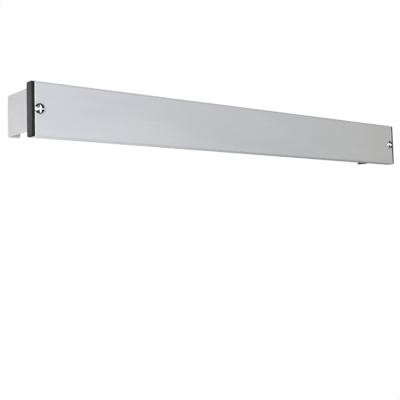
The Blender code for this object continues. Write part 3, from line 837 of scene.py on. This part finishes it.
# An edge of the arm is rounded by at most this share of the section's smaller half
arm_edge_most = 0.6
# Shares along the arm at which the shoulder begins, and the seat begins and ends
shoulder_from, seat_from, seat_to = 0.04, 0.22, 0.80
shoulder_up = 0.0123
seat_centre = (0.0216, 0.0188)
seat_radius = 0.012
tip_run = 0.006
tip_half = 0.0032
# Knots of the arm's lower outline: the share along the arm, and the lengths out from the plate's back and up
step_knots = [(0, 0.00175, 0.0048), (0.11, 0.0112, 0.0048), (0.13, 0.01226, 0.00436), (0.15, 0.0127, 0.0033),
              (0.17, 0.0127, 0.0015), (0.19, 0.01314, 0.00044), (0.21, 0.0142, 0.0)]
heel_knots = [(0.51, 0.0235, 0.0002), (0.64, 0.0388, 0.0007), (0.67, 0.0396, 0.0011), (0.70, 0.04, 0.0022)]
tip_knots = [(0.80, 0.04, 0.0175), (1, 0.04, 0.0248)]
# Wear in the seat: how far off it fades and between which heights, then the tip's heights and least reach
seat_wear = 0.0009
seat_wear_up = (0.014, 0.009)
tip_wear_up = (0.0258, 0.0278)
tip_wear_out = 0.03
# How far down a surface faces where the matt begins and is full
matt_facing = (0.2, 0.5)


def satin_black_paint():
    """Black paint on a casting: slight orange peel, paler metal where it is rubbed, and a matt underside."""
    finish, tree, shader = new_finish("satin_black_paint", metallic=0.0, specular=satin_gloss)
    peel = noise(tree, bumps=(900, 900, 900), detail=2.0)
    wear = noise(tree, bumps=(420, 420, 420), detail=3.0)
    base = mixed_colour(tree, spread(tree, peel, (0.3, 0.7), (0, 1)), hook_black, hook_grey)
    wear_and_painted_light = combine(tree, "MULTIPLY", marked(tree, "wear_and_painted_light"), spread(tree, wear, (0.4, 0.6), (0, 0.9)))
    tree.links.new(mixed_colour(tree, wear_and_painted_light, base, hook_rubbed), shader.inputs["Base Color"])
    tree.links.new(spread(tree, peel, (0.3, 0.7), (0.48, 0.6)), shader.inputs["Roughness"])
    gloss = spread(tree, marked(tree, "matt"), (0, 1), (satin_gloss, 0))
    tree.links.new(gloss, shader.inputs["Specular IOR Level"])
    raised(tree, shader, peel, strength=0.12, depth=0.0001)
    return finish


def plate_rings(top):
    """The hook's plate: a round-topped outline drawn in from its edge, from back round the rim to front."""
    bend = np.linspace(0, math.pi / 2, plate_edge_points)
    flat = plate_half * np.array(plate_face_rings)
    inset = np.concatenate([flat, [0.0], plate_edge * (1 - np.cos(bend)), flat[::-1]])
    rim = plate_thick - plate_edge * (1 - np.sin(bend))
    y = np.concatenate([0 * flat, [0.0], rim, 0 * flat + plate_thick])
    half_up = (top - plate_foot) / 2
    head = plate_half - inset
    foot = np.maximum(plate_foot_corner - inset, least_corner * head)
    radii = np.stack([head, head, foot, foot], axis=1)
    across, up = corner_ring(head, half_up - inset, radii, plate_corner_steps)
    return np.stack([across, y[:, None] + 0 * across, (top + plate_foot) / 2 + up], axis=-1)


def along_knots(knots, shares):
    """Points on a chain of straight runs through knots, each a share and two lengths."""
    at, out, up = np.array(knots).T
    return np.stack([np.interp(shares, at, out), np.interp(shares, at, up)], axis=-1)


def arm_rings():
    """The hook's arm: a rounded section between its upper and lower outlines, carried from plate to tip.

    The upper outline is a quarter ellipse, then the half circle of the seat, then straight. The lower one
    steps down behind the panel's lip, runs out along the underside and turns up at the heel. The tip closes
    as a half ellipse.
    """
    share = np.linspace(0, 1, arm_stations)
    seat_y, seat_z = seat_centre
    shoulder_out = seat_y - seat_radius - plate_thick
    in_plate = plate_thick / 2 * (1 + share / shoulder_from)
    shoulder = np.clip((share - shoulder_from) / (seat_from - shoulder_from), 0, 1) * math.pi / 2
    seat = math.pi + np.clip((share - seat_from) / (seat_to - seat_from), 0, 1) * math.pi
    upper_y = np.where(share < shoulder_from, in_plate, plate_thick + shoulder_out * np.sin(shoulder))
    upper_y = np.where(share < seat_from, upper_y, seat_y + seat_radius * np.cos(seat))
    upper_z = np.where(share < seat_from, shoulder_up * np.cos(shoulder), seat_radius * np.sin(seat))
    upper_z = seat_z + upper_z + tip_run * np.clip((share - seat_to) / (1 - seat_to), 0, 1)
    upper = np.stack([upper_y, upper_z], axis=-1)
    lower = along_knots(step_knots + heel_knots + tip_knots, share)
    middle = (upper + lower) / 2
    half = np.linalg.norm(upper - lower, axis=1) / 2
    heading = (upper - lower) / (2 * half[:, None])
    close = np.linspace(0, math.pi / 2, tip_points)[1:-1]
    middle = np.concatenate([middle, middle[-1] + tip_half * np.stack([0 * close, np.sin(close)], axis=-1)])
    heading = np.concatenate([heading, np.repeat(heading[-1:], len(close), axis=0)])
    half = np.concatenate([half, half[-1] * np.cos(close)])
    half_across = np.concatenate([np.full(len(share), arm_half), arm_half * np.cos(close)])
    radii = np.minimum(arm_edge, arm_edge_most * np.minimum(half, half_across))
    across, up = corner_ring(half_across, half, np.repeat(radii[:, None], 4, axis=1), arm_edge_steps)
    y = middle[:, :1] + up * heading[:, :1]
    z = middle[:, 1:] + up * heading[:, 1:]
    return np.stack([across, y, z], axis=-1)


hook_finish = satin_black_paint()
low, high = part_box("hook_1")
casting = skinned("hook_casting", plate_rings(high.z - low.z), hook_finish)
carved(casting, skinned("arm", arm_rings(), hook_finish), "UNION")
for hole_z in hook_holes_up:
    punch = bar_rings((0, -plate_thick, hole_z), (0, 2 * plate_thick, hole_z), hook_hole)
    carved(casting, skinned("punch", punch, hook_finish), "DIFFERENCE")
places = points_of(casting)
out, up = places[:, 1], places[:, 2]
from_seat = np.abs(np.hypot(out - seat_centre[0], up - seat_centre[1]) - seat_radius)
in_seat = ramp(from_seat, seat_wear, 0) * ramp(up, *seat_wear_up)
on_tip = ramp(up, *tip_wear_up) * (out > tip_wear_out)
mark(casting, "wear_and_painted_light", np.maximum(in_seat, on_tip))
facing = np.zeros(places.size)
casting.data.vertices.foreach_get("normal", facing)
mark(casting, "matt", ramp(-facing[2::3], *matt_facing))
for number in range(1, hook_count + 1):
    name = "hook_%d" % number
    low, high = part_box(name)
    mesh = casting.data.copy()
    mesh.vertices.foreach_set("co", (places + [(low.x + high.x) / 2, low.y, low.z]).ravel())
    hook = bpy.data.objects.new(name + "_casting", mesh)
    bpy.context.scene.collection.objects.link(hook)
    fitted(hook, name, name)
bpy.data.objects.remove(casting)

# Each hook is clamped by a zinc plated button-head screw with a hexagon socket, driven from behind into a
# steel block that slides in the channel. The block is sawn from drawn bar, tumbled and plated.
block_corner = 0.0008
block_edge = 0.0004
block_edge_steps = 4
block_edge_points = 5
block_bore = 0.0027
# The rings on the block's flat faces lie this far in, and have this corner
block_face_in = 0.004
block_face_corner = 0.0003
socket_flat = 0.0015
socket_depth = 0.0017
button_head = 0.0045
button_rim = 0.0016
button_crown = 0.0014
button_rings, button_points = 50, 72
hook_shank = 0.0025
hook_plain_shank = 0.004


def socket_head(across, up):
    """Height of the button head over its seat: a parabola of the radius, less a hexagon socket."""
    radius = np.hypot(across, up)
    flat = radius * flat_cosine(np.arctan2(up, across))
    inside = ramp(flat, socket_flat + recess_wall / 2, socket_flat - recess_wall / 2)
    return button_rim + button_crown * (1 - (radius / button_head) ** 2) - socket_depth * inside


def block_rings(low, high):
    """The sliding block: a rounded rectangle carried through, drawn in by a quarter circle at both ends."""
    half_thick = (high.y - low.y) / 2
    bend = np.linspace(0, math.pi / 2, block_edge_points)
    edge_in, edge_out = block_edge * (1 - np.sin(bend)), block_edge * (1 - np.cos(bend))
    inset = np.concatenate([[block_face_in], edge_in, edge_out, [block_face_in]])
    y = half_thick - np.concatenate([[0], edge_out])
    y = np.concatenate([-y, y[::-1]])
    radii = np.repeat(np.maximum(block_corner - inset, block_face_corner)[:, None], 4, axis=1)
    half_across, half_up = (high.x - low.x) / 2 - inset, (high.z - low.z) / 2 - inset
    across, up = corner_ring(half_across, half_up, radii, block_edge_steps)
    middle = (low + high) / 2
    return np.stack([middle.x + across, middle.y + y[:, None] + 0 * across, middle.z + up], axis=-1)


for number in range(1, hook_count + 1):
    name = "hook_nut_%d" % number
    low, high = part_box(name)
    block = skinned(name + "_block", block_rings(low, high), zinc_finish)
    middle = (low + high) / 2
    start, end = low.y - block_edge, high.y + block_edge
    bore = bar_rings((middle.x, start, middle.z), (middle.x, end, middle.z), block_bore)
    carved(block, skinned("bore", bore, zinc_finish), "DIFFERENCE")
    fitted(block, name, "hook_%d" % number)
    name = "hook_screw_%d" % number
    low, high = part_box(name)
    centre = ((low.x + high.x) / 2, high.y - button_rim - button_crown, (low.z + high.z) / 2)
    length = centre[1] - low.y
    rings = screw_rings(centre, 1, button_head, socket_head, hook_shank, length, hook_plain_shank,
                        button_rings, button_points)
    screw = skinned(name + "_turned", rings, zinc_finish)
    fitted(screw, name, "hook_%d" % number, head_sharp_turn)

# The stage is a pale floor well below the rail, a soft white surround, a soft box on the left, a small one
# low under the left end, a weak warm one at the right end and one behind for the back. It isn't part of the
# object.
floor_height = -1.75
floor_half = 4.0
floor_pale = (0.32, 0.325, 0.36)
floor_paler = (0.36, 0.365, 0.40)
floor_glow = 0.78
surround_level = 0.463
surround_tint = (1.0, 0.982, 0.918)
plain_white = (1.0, 1.0, 1.0)


def pale_floor():
    """A pale diffuse floor that the camera sees close to white, with the object's shadow kept."""
    finish = bpy.data.materials.new("pale_floor")
    finish.use_nodes = True
    tree = finish.node_tree
    tree.nodes.clear()
    out = tree.nodes.new("ShaderNodeOutputMaterial")
    matt = tree.nodes.new("ShaderNodeBsdfDiffuse")
    mottle = noise(tree, bumps=(30, 30, 30), detail=4.0)
    tree.links.new(mixed_colour(tree, mottle, floor_pale, floor_paler), matt.inputs["Color"])
    glow = tree.nodes.new("ShaderNodeEmission")
    seen = tree.nodes.new("ShaderNodeLightPath")
    strength = combine(tree, "MULTIPLY", seen.outputs["Is Camera Ray"], floor_glow)
    tree.links.new(strength, glow.inputs["Strength"])
    both = tree.nodes.new("ShaderNodeAddShader")
    tree.links.new(matt.outputs["BSDF"], both.inputs[0])
    tree.links.new(glow.outputs["Emission"], both.inputs[1])
    tree.links.new(both.outputs["Shader"], out.inputs["Surface"])
    return finish


floor_corners = np.array([[-1, -1], [1, -1], [1, 1], [-1, 1]]) * floor_half
floor_mesh = bpy.data.meshes.new("floor")
floor_mesh.from_pydata([(x, y, floor_height) for x, y in floor_corners.tolist()], [], [(0, 1, 2, 3)])
floor_mesh.materials.append(pale_floor())
floor = bpy.data.objects.new("floor", floor_mesh)
bpy.context.scene.collection.objects.link(floor)
floor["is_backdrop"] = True

world = bpy.data.worlds.new("soft_surround")
world.use_nodes = True
bpy.context.scene.world = world
air = world.node_tree
sky = air.nodes["Background"]
ray = air.nodes.new("ShaderNodeLightPath")
shown = combine(air, "MAXIMUM", ray.outputs["Is Camera Ray"], ray.outputs["Is Glossy Ray"])
shown = combine(air, "MAXIMUM", shown, ray.outputs["Is Transmission Ray"])
air.links.new(spread(air, shown, (0, 1), (surround_level, 1)), sky.inputs["Strength"])
air.links.new(mixed_colour(air, shown, surround_tint, plain_white), sky.inputs["Color"])


def soft_box(name, place, aim, width, height, power, colour):
    """A rectangular lamp that faces a point and that the camera doesn't see."""
    lamp = bpy.data.lights.new(name, "AREA")
    lamp.shape = "RECTANGLE"
    lamp.size = width
    lamp.size_y = height
    lamp.energy = power
    lamp.color = colour
    box = bpy.data.objects.new(name, lamp)
    box.visible_camera = False
    box.location = place
    box.rotation_euler = (Vector(place) - Vector(aim)).to_track_quat("Z", "Y").to_euler()
    bpy.context.scene.collection.objects.link(box)
    return box


soft_box("key_left", place=(-2.0, -1.6, -0.2), aim=(-0.4, -0.1, 0.0), width=1.0, height=1.6, power=46.4,
         colour=(1.0, 1.01, 1.074))
soft_box("floor_bounce", place=(-0.60, -0.10, -0.75), aim=(-0.45, -0.10, 0.0), width=0.35, height=0.30,
         power=3.3, colour=(1.0, 1.0, 0.9))
fill = soft_box("fill_right", place=(0.95, -0.80, -0.10), aim=(0.46, -0.11, 0.0), width=0.4, height=0.6,
                power=0.5, colour=(1.0, 0.98, 0.05))
fill.visible_glossy = False
soft_box("rear_fill", place=(0.0, 2.0, 0.55), aim=(0.0, -0.1, 0.0), width=0.8, height=0.8, power=26.0,
         colour=(1.0, 0.99, 0.98))

# The camera stands to the left of the rail and a little below it, where the photograph was taken from.
# Its place, angles and focal length were fitted to the panel's edges, the caps and the left bracket.
camera_place = (-1.07421, -1.28828, -0.24849)
camera_yaw = math.radians(38.6146)
camera_pitch = math.radians(3.67107)
camera_roll = math.radians(-1.56346)
focal_pixels = 749.667
picture_pixels = 400
sensor_width = 36.0

lens = bpy.data.cameras.new("camera")
lens.sensor_width = sensor_width
lens.lens = focal_pixels / picture_pixels * sensor_width
camera = bpy.data.objects.new("camera", lens)
aim = Euler((math.pi / 2 + camera_pitch, 0, -camera_yaw)).to_matrix() @ Matrix.Rotation(camera_roll, 3, "Z")
camera.location = camera_place
camera.rotation_euler = aim.to_euler()
bpy.context.scene.collection.objects.link(camera)
bpy.context.scene.camera = camera
bpy.context.scene.view_settings.view_transform = "Standard"

low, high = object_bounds()
